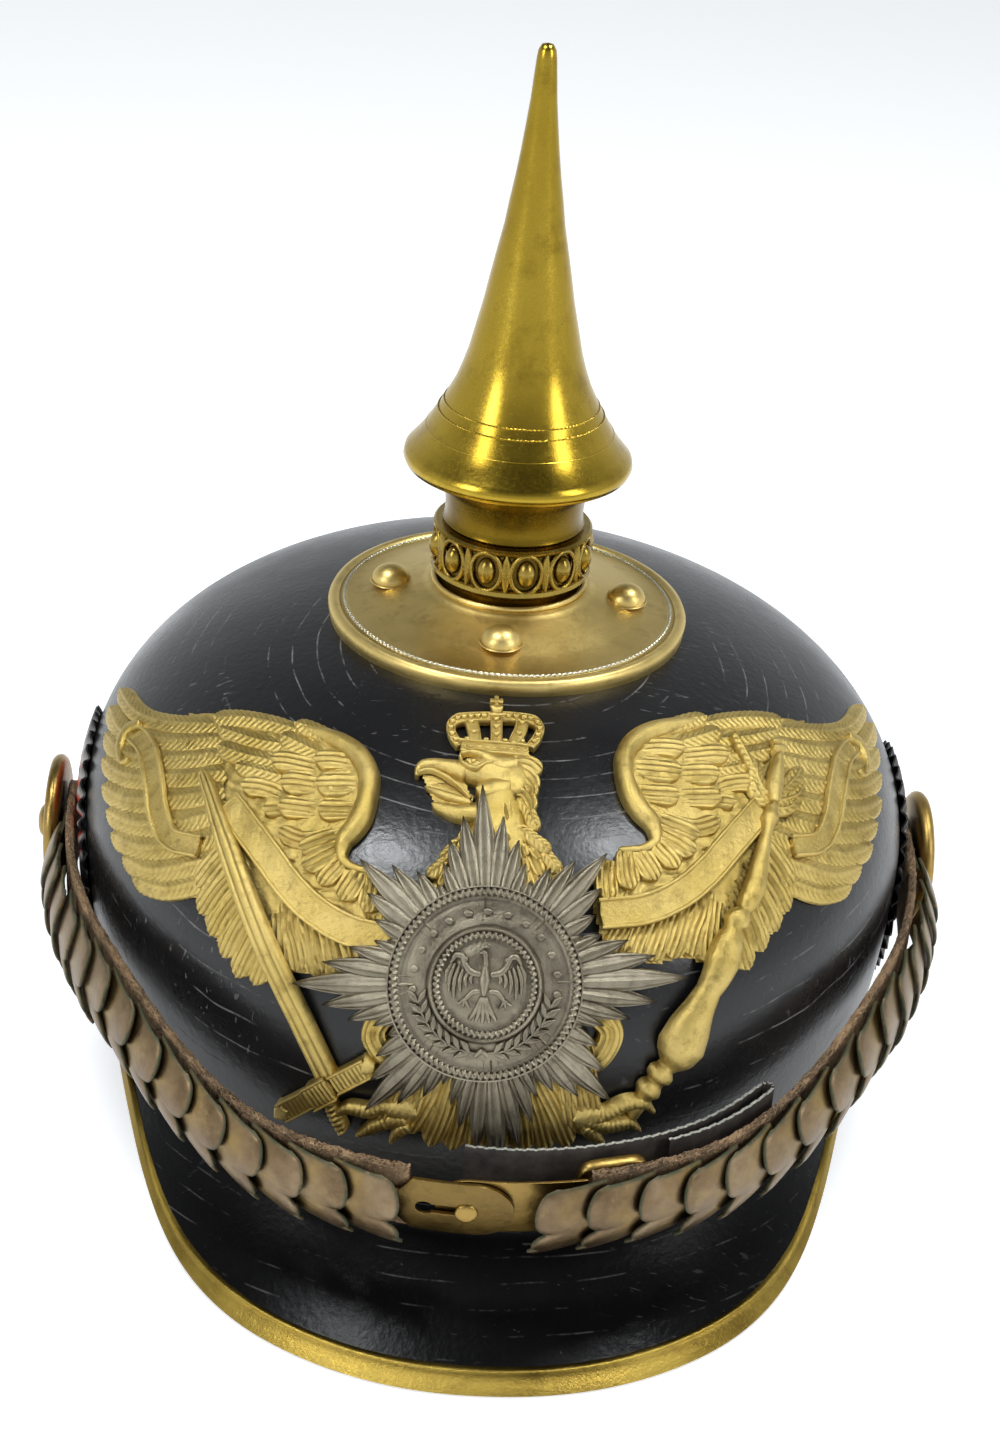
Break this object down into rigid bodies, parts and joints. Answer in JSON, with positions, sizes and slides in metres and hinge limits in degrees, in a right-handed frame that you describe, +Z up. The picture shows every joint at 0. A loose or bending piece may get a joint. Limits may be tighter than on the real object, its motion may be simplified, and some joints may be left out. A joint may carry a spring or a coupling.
{
  "type": "spiked parade helmet",
  "caption": "Lacquered leather helmet with front and rear peaks, a tall lift-out spike on a domed plate, an eagle front plate with a star, and a chinscale band that swings on side rosettes.",
  "frame": {"origin": "centre of the footprint, midway between the two rims, on the plane both peak rims rest on", "axes": "+X to the viewer's right seen from the front, -Y to the front, +Z up"},
  "size_m": [0.2166, 0.2699, 0.2405],
  "materials": {
    "lacquer": "glossy black lacquered leather",
    "peak_lacquer": "glossy black lacquered leather",
    "lining_leather": "dyed underside leather, matt",
    "trim_brass": "worn brass",
    "olive_brass": "darkened olive brass",
    "gilt_brass": "gilt brass",
    "grey_silver": "tarnished silvered metal",
    "scale_brass": "copper-toned brass with green edges",
    "copper_brass": "copper-toned brass",
    "strap_leather": "brown leather, rough edges",
    "thin_leather": "dark brown leather",
    "steel": "plain steel",
    "sweat_leather": "tan leather",
    "lining_cloth": "plain cloth",
    "cockade_left": "painted in black, white and red rings",
    "cockade_right": "painted black with a silver ring"
  },
  "bodies": {
    "helmet": {"shell": "lacquer", "front_peak": "peak_lacquer", "rear_peak": "peak_lacquer", "front_peak_lining": "lining_leather", "rear_peak_lining": "lining_leather", "front_trim": "trim_brass", "spike_base": "olive_brass", "base_studs": "olive_brass", "spike_neck": "olive_brass", "socket_bush": "olive_brass", "pearl_ring": "olive_brass", "eagle_plate": "gilt_brass", "guard_star": "grey_silver", "eagle_posts": "gilt_brass", "star_post": "grey_silver", "plate_nuts": "steel", "cockade_right": "cockade_right", "cockade_left": "cockade_left", "rosette_right": "copper_brass", "rosette_left": "copper_brass", "rosette_nuts": "steel", "side_studs": "scale_brass", "rear_spine": "trim_brass", "spine_studs": "trim_brass", "sweatband": "sweat_leather", "crown_lining": "lining_cloth"},
    "chinscale_band": {"chinscales_right": "scale_brass", "chinscales_left": "scale_brass", "backing_strap_right": "strap_leather", "backing_strap_left": "strap_leather", "stud_plate": "scale_brass", "hook_stud": "scale_brass", "keyhole_plate": "scale_brass", "buckle_frame": "steel", "buckle_prong": "steel", "adjusting_strap": "thin_leather"},
    "spike": {"spike": "olive_brass", "spike_plug": "olive_brass"},
    "vent_slide": {"vent_slide": "trim_brass"}
  },
  "joints": [
    {"name": "band_swing", "type": "hinge", "parent": "helmet", "child": "chinscale_band", "pos_m": [0, 0, 0.05], "axis": [-1, 0, 0], "range_deg": [-4, 7]},
    {"name": "spike_lift", "type": "slide", "parent": "helmet", "child": "spike", "axis": [0, 0, 1], "range_m": [0, 0.03]},
    {"name": "vent_lift", "type": "slide", "parent": "helmet", "child": "vent_slide", "axis": [0, 0, 1], "range_m": [0, 0.008]}
  ]
}
